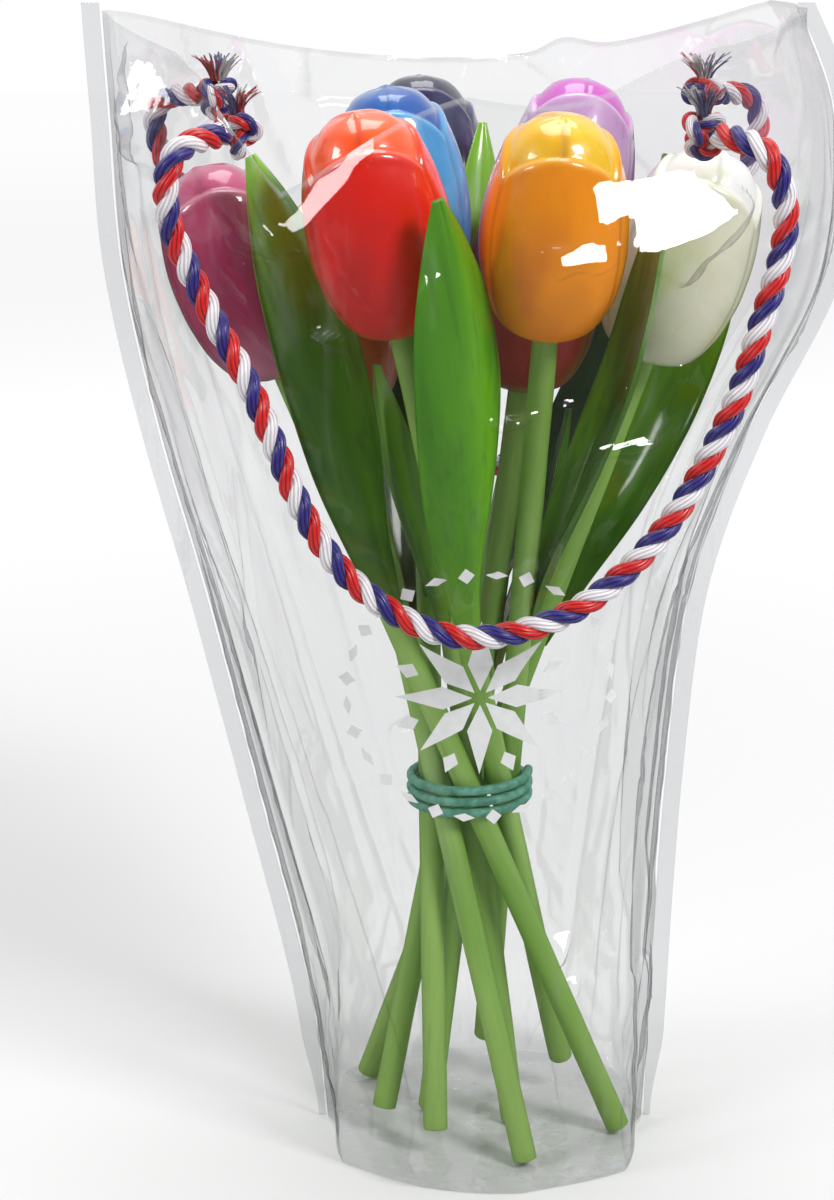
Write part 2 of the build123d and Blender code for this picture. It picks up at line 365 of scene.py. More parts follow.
class Grid:
    """Rows of points that become a mesh, with shares carried on its points."""

    def __init__(self, name: str, closed: bool, shares: Sequence[str] = ()) -> None:
        self.name = name
        self.closed = closed
        self.mesh = bmesh.new()
        self.own = self.mesh.verts.layers.float_vector.new("local")
        self.shares = [self.mesh.verts.layers.float.new(share) for share in shares]
        self.uv = self.mesh.loops.layers.uv.new("UVMap")

    def tube(self, rows: Sequence[Sequence[tuple]], index: int = 0) -> list[bmesh.types.BMVert]:
        """Lays a grid over rows of points, and round them where the piece is closed.

        Args:
            rows: Each row's points, as (place, own place, shares).
            index: The material of its faces.
        Returns:
            The new points.
        """
        turns = len(rows[0]) if self.closed else len(rows[0]) - 1
        levels = len(rows) - 1
        verts = bmesh.ops.create_grid(
            self.mesh, x_segments=turns, y_segments=levels, size=1.0, calc_uvs=True,
        )["verts"]
        for vert in verts:
            column = round((vert.co.x + 1) / 2 * turns)
            level = round((vert.co.y + 1) / 2 * levels)
            place, own, shares = rows[level][column % len(rows[0])]
            vert.co = place
            vert[self.own] = own
            for layer, share in zip(self.shares, shares):
                vert[layer] = share
        for face in {face for vert in verts for face in vert.link_faces}:
            face.material_index = index
            face.smooth = True
        return verts

    def piece(
        self, body: str, slot: str, materials: Sequence[bpy.types.Material], nodes: Sequence[str],
    ) -> bpy.types.Object:
        """Turns the rows into a piece of the object.

        Args:
            body: The body that it rides on.
            slot: The record's finish for it. It is not used.
            materials: Its materials, in order.
            nodes: The CAD nodes that it stands for.
        Returns:
            The Blender object.
        """
        if self.closed:
            bmesh.ops.remove_doubles(self.mesh, verts=self.mesh.verts, dist=1e-7)
            ends = [edge for edge in self.mesh.edges if edge.is_boundary]
            bmesh.ops.holes_fill(self.mesh, edges=ends, sides=0)
            bmesh.ops.recalc_face_normals(self.mesh, faces=self.mesh.faces)
        data = bpy.data.meshes.new(self.name)
        self.mesh.to_mesh(data)
        self.mesh.free()
        for material in materials:
            data.materials.append(material)
        made = placed(self.name, data)
        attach(made, body)
        if nodes:
            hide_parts(*nodes)
        log.info("%s: %d points on %s", self.name, len(data.vertices), body)
        return made


@dataclass(frozen=True)
class HeadForm:
    """The carved egg and its petals, in metres, standing on its bottom."""

    length: float = 68 * MM
    radius: float = 21.5 * MM
    step: float = 1.2 * MM
    outer_length: float = 61 * MM
    outer_arch: float = 17 * MM
    inner_arch: float = 10 * MM
    soft: float = 0.9 * MM
    edge: float = 1.6 * MM
    seam: float = 0.9 * MM
    groove: float = 0.22 * MM
    lip: float = 0.25 * MM
    lip_width: float = 1.5 * MM
    uneven: float = 0.3 * MM
    tip: float = 0.8 * MM
    tip_width: float = 2.2 * MM
    valley: float = 0.25 * MM
    valley_width: float = 1.1 * MM
    levels: int = 16
    turns: int = 216
    outline: tuple = (
        (0.34, 0.0), (0.66, 0.055), (0.89, 0.19), (0.985, 0.34), (1.0, 0.45),
        (0.975, 0.58), (0.89, 0.72), (0.74, 0.86), (0.52, 0.955), (0.25, 0.995), (0.02, 1.0),
    )

    def arch(self, across: float, length: float, height: float) -> float:
        """Gives the height of a petal's rim.

        Args:
            across: The distance from the petal's middle line.
            length, height: The petal's length, and the height of its arch.
        Returns:
            The height of the rim there.
        """
        half = self.radius * math.sin(math.pi / 3)
        bend = (half * half + height * height) / (2 * height)
        return length - bend + math.sqrt(max(bend * bend - min(abs(across), half) ** 2, 0.0))

    def rows(self, seed: int) -> list[list[tuple[Vector, tuple]]]:
        """Makes the carved surface.

        Args:
            seed: What sets its small unevenness.
        Returns:
            Rows of (place, shares), the shares being outer, rise, edge and groove: edge places the painted
            highlight along the petal rims, and groove the painted shade in the seams and valleys.
        """
        line = through(self.outline, self.levels)
        drift = Vector((seed * 3.7, seed * 1.3, seed * 2.9))
        made = []
        for level, (radius_share, rise) in enumerate(line):
            before, after = beside(line, level)
            run, climb = after[0] - before[0], after[1] - before[1]
            way = Vector((run * self.radius, climb * self.length)).normalized()
            row = []
            for turn in range(self.turns):
                angle = turn * 2 * math.pi / self.turns
                row.append(self.point(radius_share, rise, way, angle, drift))
            made.append(row)
        return made

    def point(self, radius_share: float, rise: float, way: Vector, angle: float, drift: Vector) -> tuple:
        """Carves one point of the egg.

        Args:
            radius_share, rise: Its place on the outline.
            way: The outline's direction there.
            angle: Its bearing from the front petal.
            drift: The offset of the unevenness.
        Returns:
            The place and its shares.
        """
        out, up = radius_share * self.radius, rise * self.length
        third = 2 * math.pi / 3
        from_outer = (angle + third / 2) % third - third / 2
        from_inner = angle % third - third / 2
        outer_rim = self.arch(out * math.sin(from_outer), self.outer_length, self.outer_arch)
        roof = self.arch(out * math.sin(from_inner), self.length, self.inner_arch)
        below = outer_rim - up
        outer = blend(-self.soft, self.soft, below)
        # edge: where the painted highlight along the petal rim lies.
        edge = bell(below / self.edge) * outer
        seam = abs(abs(from_outer) - third / 2) * out
        groove = bell(seam / self.seam) * blend(0.04, 0.2, rise) * outer
        lip = self.lip * bell((below - self.edge) / self.lip_width)
        wave = noise.noise(Vector((math.cos(angle), math.sin(angle), rise * 2)) * 1.6 + drift)
        inset = self.step * (1 - outer) + self.groove * groove - lip
        inset -= self.uneven * wave * blend(0.0, 0.2, rise)
        out = max(out - inset * way.y, 0.0)
        up += inset * way.x
        sink = max(up - roof, 0.0)
        up -= sink * 0.9
        up += self.tip * bell(out / self.tip_width)
        valley = bell(abs(abs(from_inner) - third / 2) * out / self.valley_width)
        valley *= blend(0.78, 0.86, rise) * blend(1 * MM, 5 * MM, out) * (1 - outer)
        up -= self.valley * valley
        place = Vector((out * math.cos(angle), out * math.sin(angle), up))
        # The last share places the painted shade in the seams and the valleys.
        return place, (outer, rise, edge, max(0.5 * groove, 0.4 * valley))


# Sections of a leaf: shares of its length, its reach and its width, and how cupped it is.
LEAF_SHARES = (
    (0.0, 0.0, 0.26, 0.75), (0.14, 0.16, 0.52, 0.6), (0.34, 0.5, 0.88, 0.42), (0.55, 0.8, 1.0, 0.34),
    (0.75, 0.96, 0.86, 0.32), (0.9, 1.0, 0.5, 0.3), (1.0, 0.98, 0.13, 0.25),
)


@dataclass(frozen=True)
class Tulip:
    """One wooden tulip: its head, stem and leaf on one body."""

    name: str
    head: HeadPaint
    leaf: GreenPaint
    leaf_bearing: float
    leaf_rise: float = 172 * MM
    leaf_length: float = 150 * MM
    leaf_width: float = 31 * MM
    leaf_reach: float = 28 * MM
    length: float = 343 * MM
    head_length: float = 68 * MM
    stem_radius: float = 3.9 * MM
    bore: float = 22 * MM
    leaf_gap: float = 1.2 * MM
    leaf_uneven: float = 0.35 * MM
    stem_uneven: float = 0.12 * MM
    stem_edge: float = 0.5 * MM
    stem_bevel: float = 0.15 * MM

    @property
    def body(self) -> str:
        """The body's name."""
        return self.name + "_tulip"

    def seat(self, bearing: float, rise: float) -> Matrix:
        """Gives the frame of the tulip's axis at a height.

        Args:
            bearing: Where its X axis faces, in degrees from the front to the right.
            rise: The height above its foot.
        Returns:
            The matrix from that frame to the object's.
        """
        joint = next(joint for joint in frame["joints"] if joint["name"] == self.name + "_pull")
        axis = Vector(joint["axis"]).normalized()
        low, high = (Vector(corner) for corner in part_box(self.name + "_stem"))
        stem = self.length - self.head_length + self.bore
        foot = (low + high) / 2 - axis * stem / 2
        turn = math.radians(bearing)
        facing = Vector((math.sin(turn), -math.cos(turn), 0))
        across = (facing - axis * facing.dot(axis)).normalized()
        made = Matrix.Identity(4)
        for column, vector in enumerate((across, axis.cross(across), axis, foot + axis * rise)):
            made.col[column][:3] = vector
        return made

    def add_head(self, form: HeadForm, seed: int) -> None:
        """Adds the head.

        Args:
            form: Its carved form.
            seed: What sets its small unevenness.
        """
        seat = self.seat(0, self.length - self.head_length)
        grid = Grid(self.name + "_head_carved", True, ("outer", "rise", "edge", "groove"))
        rows = form.rows(seed)
        grid.tube([[(seat @ place, place, shares) for place, shares in row] for row in rows])
        finish = self.head.material(self.name + "_lacquer")
        grid.piece(self.body, self.name + "_lacquer", [finish], [self.name + "_head"])

    def add_stem(self, finish: bpy.types.Material, seed: int) -> None:
        """Adds the stem.

        Args:
            finish: Its paint.
            seed: What sets its small unevenness.
        """
        seat = self.seat(0, 0)
        visible = self.length - self.head_length + 1 * MM
        edge, levels = self.stem_edge, 90
        heights = [0, self.stem_bevel, edge]
        heights += [edge + (visible - edge) * step / levels for step in range(1, levels + 1)]
        insets = [edge, self.stem_bevel, 0] + [0] * levels
        rows = []
        for height, inset in zip(heights, insets):
            row = []
            for turn in range(32):
                angle = turn * math.pi / 16
                around = Vector((math.cos(angle), math.sin(angle), 0))
                wave = noise.noise(Vector((around.x, around.y, height * 45)) + Vector((seed, 0, seed)))
                place = around * (self.stem_radius - inset + self.stem_uneven * wave) + Vector((0, 0, height))
                # A stem takes the middle side share, so the painted shade of the leaves lies evenly on it.
                row.append((seat @ place, place + Vector((seed, 0, 0)), (height / visible, 0.5)))
            rows.append(row)
        grid = Grid(self.name + "_stem_turned", True, ("rise", "side"))
        grid.tube(rows)
        grid.piece(self.body, "stem_green", [finish], [self.name + "_stem"])

    def add_leaf(self, seed: int) -> None:
        """Adds the cupped leaf.

        Args:
            seed: What sets its small unevenness.
        """
        seat = self.seat(self.leaf_bearing, self.leaf_rise)
        line = through(LEAF_SHARES, 12)
        rows = []
        for level, (rise, reach, width, cup) in enumerate(line):
            before, after = beside(line, level)
            run = Vector((
                (after[1] - before[1]) * self.leaf_reach, 0, (after[0] - before[0]) * self.leaf_length,
            )).normalized()
            inwards = Vector((-run.z, 0, run.x))
            out = self.stem_radius + self.leaf_gap + reach * self.leaf_reach
            middle = Vector((out, 0, rise * self.leaf_length))
            half = width * self.leaf_width / 2
            thick = (1.2 + 2.2 * math.sqrt(width)) * MM
            rows.append(self.leaf_row(seat, middle, inwards, half, cup * half, thick, rise, seed))
        grid = Grid(self.name + "_leaf_carved", True, ("rise", "side"))
        grid.tube(rows)
        finish = self.leaf.material(self.name + "_leaf_paint")
        grid.piece(self.body, "leaf_green", [finish], [self.name + "_leaf"])

    def leaf_row(
        self, seat: Matrix, middle: Vector, inwards: Vector, half: float, cup: float, thick: float,
        rise: float, seed: int,
    ) -> list[tuple]:
        """Makes one section of the leaf, round its edge.

        Args:
            seat: The leaf's frame.
            middle: The section's outermost point.
            inwards: The direction towards the stem.
            half: Half its width.
            cup: How far its edges lean in.
            thick: Its thickness at the middle.
            rise: Its share of the leaf's length.
            seed: What sets its small unevenness.
        Returns:
            Its points with their shares.
        """
        count = 20
        outside = [-1 + 2 * step / count for step in range(count + 1)]
        loop = [(u, 0.0) for u in outside] + [(u, 1.0) for u in reversed(outside)]
        row = []
        for u, side in loop:
            bulge = noise.noise(Vector((u * 1.5, rise * 5, seed * 2.3)))
            fall = cup * u * u + self.leaf_uneven * (bulge + bell(u / 0.09) * (1 - side))
            width = thick * math.sqrt(max(1 - 0.92 * u * u, 0.0))
            depth = fall + side * width + (1 - side) * 0.5 * (thick - width) * abs(u)
            place = middle + inwards * depth + Vector((0, u * half, 0))
            # The side share runs from one edge to the other and places the painted shade on one half of the
            # leaf.
            row.append((seat @ place, place + Vector((seed, 0, 0)), (rise, 0.5 + 0.5 * u)))
        return row


@dataclass(frozen=True)
class Bag:
    """The clear bag: two films, a foot and two welded sides."""

    height: float = 366 * MM
    reach: float = 112 * MM
    depth: float = 88 * MM
    weld: float = 6 * MM
    front_rim: float = 345 * MM
    back_rim: float = 342 * MM
    right_mouth: float = 0.86
    hole_radius: float = 4.5 * MM
    hole_margin: float = 4 * MM
    gathered: float = 85 * MM
    drawn_in: float = 2.2
    corner_spread: float = 0.5
    corners: tuple = ((0.62, 6.5), (2.45, 7.5), (3.85, 6.5), (5.6, 8.0), (5.0, 2.6), (4.4, 2.2))
    sections: tuple = (
        (0.0, 0.42, 0.52, 0.645), (0.12, 0.46, 0.53, 0.64), (0.32, 0.61, 0.56, 0.61), (0.5, 0.75, 0.62, 0.76),
        (0.64, 0.87, 0.77, 0.92), (0.78, 0.96, 0.97, 1.0), (0.91, 0.985, 0.975, 1.0), (1.0, 1.0, 0.86, 0.94),
    )

    def section(self, height: float) -> tuple[float, float, float]:
        """Gives the bag's outline at a height.

        Args:
            height: The height above its foot.
        Returns:
            Its reach to the left and right, and half its depth.
        """
        share = min(max(height / self.height, 0.0), 1.0)
        table = BAG_TABLE
        index = min(int(share * (len(table) - 1)), len(table) - 2)
        part = share * (len(table) - 1) - index
        left, right, depth = (a + (b - a) * part for a, b in zip(table[index], table[index + 1]))
        return left * self.reach, right * self.reach, depth * self.depth

    def span(self, height: float) -> tuple[float, float, float]:
        """Gives the bag's middle, half its width and half its depth at a height."""
        left, right, depth = self.section(height)
        return (right - left) / 2, (left + right) / 2, depth

    def gather(self, turn: float, height: float) -> float:
        """Gives how far the film folds out into corners near the foot.

        Args:
            turn: The bearing round the bag, in radians from +X.
            height: The height in metres.
        Returns:
            The lift in metres, outwards.
        """
        lift = -self.drawn_in
        for bearing, out in self.corners:
            off = abs((turn - bearing + math.pi) % (2 * math.pi) - math.pi)
            lift += out * max(1 - off / self.corner_spread, 0.0) ** 1.3
        return lift * MM * blend(self.gathered, 0.0, height)

    def hole(self, across: float, side: int) -> tuple[Vector, Vector]:
        """Gives a handle's hole, at the last section but one.

        Args:
            across: Its X in metres.
            side: -1 on the front film and 1 on the back.
        Returns:
            Its middle and its outward direction.
        """
        share, left, right, deep = self.sections[-2]
        middle, half = (right - left) / 2 * self.reach, (left + right) / 2 * self.reach
        depth = deep * self.depth
        reach = math.sqrt(1 - ((across - middle) / half) ** 2)
        outwards = Vector(((across - middle) / half**2, side * reach / depth, 0)).normalized()
        return Vector((across, side * depth * reach, share * self.height)), outwards


def bag_table(sections: Sequence[Sequence[float]], count: int = 200) -> list[list[float]]:
    """Reads the bag's sections at even heights.

    Args:
        sections: Shares of its height, left and right reach, and depth.
        count: How many steps the height has.
    Returns:
        The last three shares at each height.
    """
    line = through(sections, 40)
    table, index = [], 0
    for step in range(count + 1):
        share = step / count
        while index < len(line) - 2 and line[index + 1][0] < share:
            index += 1
        low, high = line[index], line[index + 1]
        part = min(max((share - low[0]) / max(high[0] - low[0], 1e-9), 0.0), 1.0)
        table.append([a + (b - a) * part for a, b in zip(low[1:], high[1:])])
    return table


BAG_TABLE = bag_table(Bag().sections)


@dataclass(frozen=True)
class Crease:
    """A fold in a film, from one (share, height) to another."""

    start: tuple[float, float]
    end: tuple[float, float]
    width: float
    rise: float

    def lift(self, share: float, height: float) -> float:
        """Gives how far the crease lifts the film.

        Args:
            share, height: The place on the film, across and up in metres.
        Returns:
            The lift in metres, outwards.
        """
        span = 0.25
        ax, ay = self.start[0] * span, self.start[1]
        dx, dy = self.end[0] * span - ax, self.end[1] - ay
        px, py = share * span - ax, height - ay
        length = math.hypot(dx, dy)
        along = (px * dx + py * dy) / length
        if not 0 < along < length:
            return 0.0
        off = abs(px * dy - py * dx) / length
        if off > 2 * self.width:
            return 0.0
        taper = math.sin(math.pi * along / length) ** 0.6
        return self.rise * taper * (1 - off / (2 * self.width)) ** 1.5


@dataclass(frozen=True)
class Pane:
    """A flat taut patch of film that faces a bearing and leans back."""

    across: float
    height: float
    wide: float
    tall: float
    roll: float
    bearing: float
    lean: float
    depth: float = 0.0

    @property
    def facing(self) -> Vector:
        """The direction that it faces."""
        turn, lean = math.radians(self.bearing), math.radians(self.lean)
        return Vector((math.sin(turn) * math.cos(lean), -math.cos(turn) * math.cos(lean), math.sin(lean)))

    def share(self, point: Vector) -> float:
        """Gives how much of a point belongs to the pane, with ragged edges.

        Args:
            point: The point on the smooth film.
        Returns:
            A share from 0 to 1.
        """
        dx, dz = point.x - self.across, point.z - self.height
        turn = math.radians(self.roll)
        a = dx * math.cos(turn) + dz * math.sin(turn)
        b = dz * math.cos(turn) - dx * math.sin(turn)
        rag = 2.5 * MM * noise.noise(Vector((dx * 120, dz * 120, self.wide * 300)))
        margin = min(self.wide - abs(a) + 0.35 * b, self.tall - abs(b)) + rag
        return blend(-1.5 * MM, 1.5 * MM, margin)


class Film:
    """One film of the bag, creased and holed."""

    facet_levels = 12
    facet_steps = 6
    facet_height = 31 * MM
    facet_reach = (0.34, 75 * MM)
    facet_out = 3 * MM
    facet_in = -2 * MM
    pane_out = 6 * MM
    pane_in = -3.2 * MM
    notch = -56 * MM
    notch_depth = 28 * MM
    notch_left = 30 * MM
    notch_right = 52 * MM
    rim_wave = 3 * MM
    rim_bump = 4 * MM
    rim_margin = 1.5 * MM
    foot_gap = 0.3 * MM
    hem_gap = 2.0 * MM
    hem_step = 0.5 * MM
    hem_steps = 4
    steps = (190, 225)

    def __init__(
        self, bag: Bag, side: int, creases: Sequence[Crease], panes: Sequence[Pane], cord: Sequence[Vector],
        seed: int,
    ) -> None:
        self.bag = bag
        self.side = side
        self.creases = creases
        self.panes = panes
        self.cord = cord
        self.seed = seed
        self.facets = self.facet_planes()

    def facet_planes(self) -> list[tuple[float, float, Vector, Vector]]:
        """Draws the flat facets that the film breaks into.

        Returns:
            Each facet's share and height, a point of its plane and its normal.
        """
        rng = random.Random(self.seed)
        made = []
        for level in range(self.facet_levels):
            for step in range(self.facet_steps):
                share = step + 0.5 + rng.uniform(-0.3, 0.3) + 0.25 * (level % 2)
                share /= self.facet_steps + 0.3
                height = (level + 0.5 + rng.uniform(-0.35, 0.35)) * self.facet_height
                base, outwards = self.base(share, height)
                lean = Vector((rng.gauss(0, 0.09), rng.gauss(0, 0.03), rng.gauss(0.02, 0.11)))
                point = base + outwards * rng.uniform(-0.8, 0.8) * MM
                made.append((share, height, point, (outwards + lean).normalized()))
        return made

    def base(self, share: float, height: float) -> tuple[Vector, Vector]:
        """Gives a point of the smooth bag.

        Args:
            share: Its place from the left weld to the right one.
            height: Its height in metres.
        Returns:
            The point and its outward direction.
        """
        middle, half, depth = self.bag.span(height)
        angle = math.pi * (1 - share)
        point = Vector((middle + half * math.cos(angle), self.side * depth * math.sin(angle), height))
        return point, Vector((math.cos(angle) / half, self.side * math.sin(angle) / depth, 0)).normalized()

    def rim(self, x: float) -> float:
        """Gives the height of the film's rim.

        Args:
            x: The place across, in metres.
        Returns:
            The rim's height.
        """
        left = -self.bag.reach - self.bag.weld
        right = self.bag.right_mouth * self.bag.reach + self.bag.weld
        low = self.bag.front_rim if self.side < 0 else self.bag.back_rim
        half = (right - left) / 2
        sag = self.bag.height - low
        bend = (half * half + sag * sag) / (2 * sag)
        centre = (left + right) / 2
        rim = low + bend - math.sqrt(max(bend * bend - min(abs(x - centre), half) ** 2, 0.0))
        if self.side < 0:
            slope = self.notch_left if x < self.notch else self.notch_right
            rim -= self.notch_depth * max(1 - abs(x - self.notch) / slope, 0.0) ** 1.1
            rim -= self.rim_wave * math.sin(x * 70) * blend(0.1, 0.04, abs(x))
        else:
            rim += self.rim_bump * bell((x - 32 * MM) / (9 * MM))
        return min(rim, self.bag.height - self.rim_margin)

    def place(self, share: float, height: float, off: float = 0.0) -> Vector:
        """Gives a point of the creased film.

        Args:
            share: Its place from the left weld to the right one.
            height: Its height in metres.
            off: How far outside the film it lies.
        Returns:
            The point.
        """
        base, outwards = self.base(share, height)
        facet = self.facet_out
        for other, level, point, normal in self.facets:
            if abs(level - height) < self.facet_reach[1] and abs(other - share) < self.facet_reach[0]:
                facet = min(facet, (point - base).dot(normal) / outwards.dot(normal))
        lift = max(facet, self.facet_in) + sum(crease.lift(share, height) for crease in self.creases)
        spot = Vector((share * 11, height * 36, self.seed))
        low = blend(75 * MM, 20 * MM, height)
        rough = 0.4 * blend(0.0, 0.3, share) * blend(1.0, 0.7, share) + 1.1 * low
        lift += rough * MM * (1 - 2 * abs(noise.noise(spot)) - abs(noise.noise(spot * 2.3)))
        for pane in self.panes:
            part = pane.share(base)
            if part > 0:
                anchor = Vector((pane.across, 0, pane.height))
                anchor.y = self.across_depth(pane.across, pane.height)
                flat = (anchor - base).dot(pane.facing) / outwards.dot(pane.facing) + pane.depth
                lift += (min(max(flat, self.pane_in), self.pane_out) - lift) * part
        near = min((math.hypot(base.x - p.x, base.z - p.z) for p in self.cord), default=1.0)
        lift *= blend(5 * MM, 16 * MM, near)
        sides = blend(0.0, 0.04, share) * blend(1.0, 0.96, share)
        turn = math.atan2(base.y, base.x)
        lift = lift * blend(0.0, 10 * MM, height) + self.bag.gather(turn, height)
        return base + outwards * (lift * sides - 0.25 * MM + off)

    def across_depth(self, across: float, height: float) -> float:
        """Gives the smooth film's Y at a place across and a height."""
        middle, half, depth = self.bag.span(height)
        return self.side * depth * math.sqrt(max(1 - ((across - middle) / half) ** 2, 0.0))

    def rows(self, across: int, up: int) -> list[list[tuple]]:
        """Samples the film, closer together at the rim.

        Args:
            across, up: The steps each way.
        Returns:
            Rows of points with their own places and shares.
        """
        made = []
        middle, half, _ = self.bag.span(0.95 * self.bag.height)
        for level in range(up + self.hem_steps + 1):
            row = []
            for step in range(across + 1):
                share = step / across
                rim = self.rim(middle + half * math.cos(math.pi * (1 - share)))
                height = self.foot_gap + (rim - self.hem_gap - self.foot_gap) * level / up
                if level > up:
                    height = rim - self.hem_gap + self.hem_step * (level - up)
                hem = blend(2.2 * MM, 0.8 * MM, rim - height)
                row.append((self.place(share, height), Vector((share * 0.3, 0, height)), (height, hem)))
            made.append(row)
        return made

    def piece(self, name: str, node: str, holes: Sequence[Vector], finish: bpy.types.Material) -> None:
        """Adds the film with its holes.

        Args:
            name: The piece's name.
            node: The CAD node that it stands for.
            holes: The middles of its holes.
            finish: Its material.
        """
        grid = Grid(name, False, ("rise", "hem"))
        grid.tube(self.rows(*self.steps))
        radius = self.bag.hole_radius
        gone = [vert for vert in grid.mesh.verts if min((vert.co - hole).length for hole in holes) < radius]
        bmesh.ops.delete(grid.mesh, geom=gone, context="VERTS")
        for vert in grid.mesh.verts:
            for hole in holes:
                away = vert.co - hole
                if vert.is_boundary and away.length < radius + self.bag.hole_margin:
                    vert.co = hole + away.normalized() * radius
        if self.side > 0:
            bmesh.ops.reverse_faces(grid.mesh, faces=grid.mesh.faces)
        grid.piece(Body.BAG.value, "clear_film", [finish], [node])


@dataclass(frozen=True)
class ClearFinish:
    """A clear plastic: mostly see-through, greyer at a slant, with crisp glare."""

    tint: Rgb
    slant_tint: Rgb
    haze: float
    grain: float
    most_mirrored: float = 0.17
    hem_milk: float = 0.22

    def material(self, name: str) -> bpy.types.Material:
        """Makes the clear plastic.

        Args:
            name: The material's name.
        Returns:
            The material.
        """
        s = Shader(name)
        fine = s.noise((60, 60, 60), 3.0, 0.6)
        normal = s.bump(fine, self.grain)
        facing = s.node("LayerWeight", Blend=0.5, Normal=normal).outputs["Facing"]
        hem = s.attribute("hem")
        tint = s.mix(s.ramp(facing, 0.3, 1.0), self.tint, self.slant_tint)
        clear = s.node("BsdfTransparent", Color=s.mix(s.times(hem, 0.8), tint, self.slant_tint)).outputs[0]
        blur = s.ramp(facing, 0.35, 0.9, 0.05, 0.3)
        gloss = s.node("BsdfGlossy", Color=(1.0, 1.0, 1.0), Roughness=blur, Normal=normal).outputs[0]
        fresnel = s.node("Fresnel", IOR=1.47, Normal=normal).outputs[0]
        slant = s.sum("MINIMUM", fresnel, self.most_mirrored)
        shiny = s.node("MixShader", i0=slant, i1=clear, i2=gloss).outputs[0]
        milk = s.node("BsdfDiffuse", Color=(0.9, 0.91, 0.92)).outputs[0]
        clouds = s.ramp(s.noise((60, 60, 12), 4.0, 0.65), 0.54, 0.7, self.haze * 0.06, self.haze)
        both = s.sum("ADD", clouds, s.times(hem, self.hem_milk))
        return s.ended(s.node("MixShader", i0=both, i1=shiny, i2=milk).outputs[0])


@dataclass(frozen=True)
class Yarn:
    """The satin yarns of the cords."""

    colour: Rgb
    # shade: the painted shade between the threads, also laid in random patches.
    shade: Rgb
    threads: float = 9.0
    slant: float = 900.0

    def material(self, name: str) -> bpy.types.Material:
        """Makes the satin yarn.

        Args:
            name: The material's name.
        Returns:
            The material.
        """
        s = Shader(name)
        uv = s.node("UVMap", {"uv_map": "UVMap"}).outputs[0]
        parts = s.node("SeparateXYZ", Vector=uv)
        around = s.times(parts.outputs[0], self.threads * 2 * math.pi)
        along = s.times(s.attribute("along"), self.slant)
        line = s.sum("SINE", s.sum("ADD", around, along))
        height = s.ramp(line, -1.0, 0.6)
        # Painted shade: the colour darkens in the valleys between the threads; with one thread, as on the
        # frays, one side of each fibre is darker.
        colour = s.mix(s.ramp(line, -1.0, 0.2), paint(*self.shade), paint(*self.colour))
        patches = s.noise((300, 300, 300), 2.0, 0.5)
        mixed = s.mix(s.ramp(patches, 0.4, 0.8, 0.0, 0.3), colour, paint(*self.shade))
        return s.surface(
            Base_Color=mixed, Roughness=0.38, Normal=s.bump(height, 0.00015), Sheen_Weight=0.35,
            Sheen_Roughness=0.4, Specular_IOR_Level=0.6,
        )


class Rope:
    """Three twisted strands along a line."""

    plump = 1.04

    def __init__(self, diameter: float, lay: float, phase: float = 0.0) -> None:
        self.strand = diameter / 2 / (1 + 2 / math.sqrt(3))
        self.reach = diameter / 2 - self.strand
        self.lay = lay
        self.phase = phase

    def add(self, grid: Grid, line: Sequence[Vector], sides: int = 12) -> None:
        """Adds the strands to a mesh.

        Args:
            grid: The mesh that takes them.
            line: The points of the rope's middle.
            sides: The points round each strand.
        """
        frames = carried(line)
        for strand in range(3):
            centres, travelled = [], 0.0
            for index, (point, across, up) in enumerate(frames):
                if index:
                    travelled += (point - frames[index - 1][0]).length
                angle = self.phase + 2 * math.pi * (travelled / self.lay + strand / 3)
                centres.append(point + (across * math.cos(angle) + up * math.sin(angle)) * self.reach)
            rows, length = [], 0.0
            for index, (point, across, up) in enumerate(carried(centres)):
                if index:
                    length += (point - centres[index - 1]).length
                rows.append(ring(point, across, up, self.strand * self.plump, sides, (length,)))
            grid.tube(rows, strand)


def carried(line: Sequence[Vector]) -> list[tuple[Vector, Vector, Vector]]:
    """Carries a frame along a line without twist.

    Args:
        line: The points.
    Returns:
        Each point with two directions square to the line.
    """
    frames, across = [], None
    for index, point in enumerate(line):
        before, after = beside(line, index)
        way = (after - before).normalized()
        if across is None:
            across = way.orthogonal().normalized()
        across = (across - way * across.dot(way)).normalized()
        frames.append((point, across, way.cross(across)))
    return frames


def even(line: Sequence[Vector], step: float) -> list[Vector]:
    """Spaces points evenly along a line.

    Args:
        line: The points.
        step: The wanted spacing.
    Returns:
        The evenly spaced points, both ends kept.
    """
    lengths = [0.0]
    for a, b in zip(line, line[1:]):
        lengths.append(lengths[-1] + (b - a).length)
    count = max(round(lengths[-1] / step), 2)
    made, index = [], 0
    for number in range(count + 1):
        wanted = lengths[-1] * number / count
        while index < len(line) - 2 and lengths[index + 1] < wanted:
            index += 1
        span = lengths[index + 1] - lengths[index]
        made.append(line[index].lerp(line[index + 1], (wanted - lengths[index]) / span if span else 0.0))
    return made


@dataclass(frozen=True)
class Knot:
    """The sizes of a tied knot and its frayed end."""

    inset: float = 7 * MM
    size: float = 1.85 * MM
    depth: float = 2.6 * MM
    cord: float = 4.6 * MM
    lay: float = 11 * MM
    steps: int = 120
    rise: float = 5 * MM
    yarns: int = 42
    width: float = 0.42 * MM
    top: float = 349.4 * MM

    def line(self, centre: Vector, across: Vector, up: Vector, outwards: Vector) -> list[Vector]:
        """Gives the closed line that the tied cord follows.

        Args:
            centre: The knot's middle.
            across, up, outwards: Its directions.
        Returns:
            The points in metres.
        """
        made = []
        for step in range(self.steps + 1):
            t = step * 2 * math.pi / self.steps
            aside = across * (math.sin(t) + 2 * math.sin(2 * t)) + up * (math.cos(t) - 2 * math.cos(2 * t))
            made.append(centre + aside * self.size - outwards * math.sin(3 * t) * self.depth)
        return made


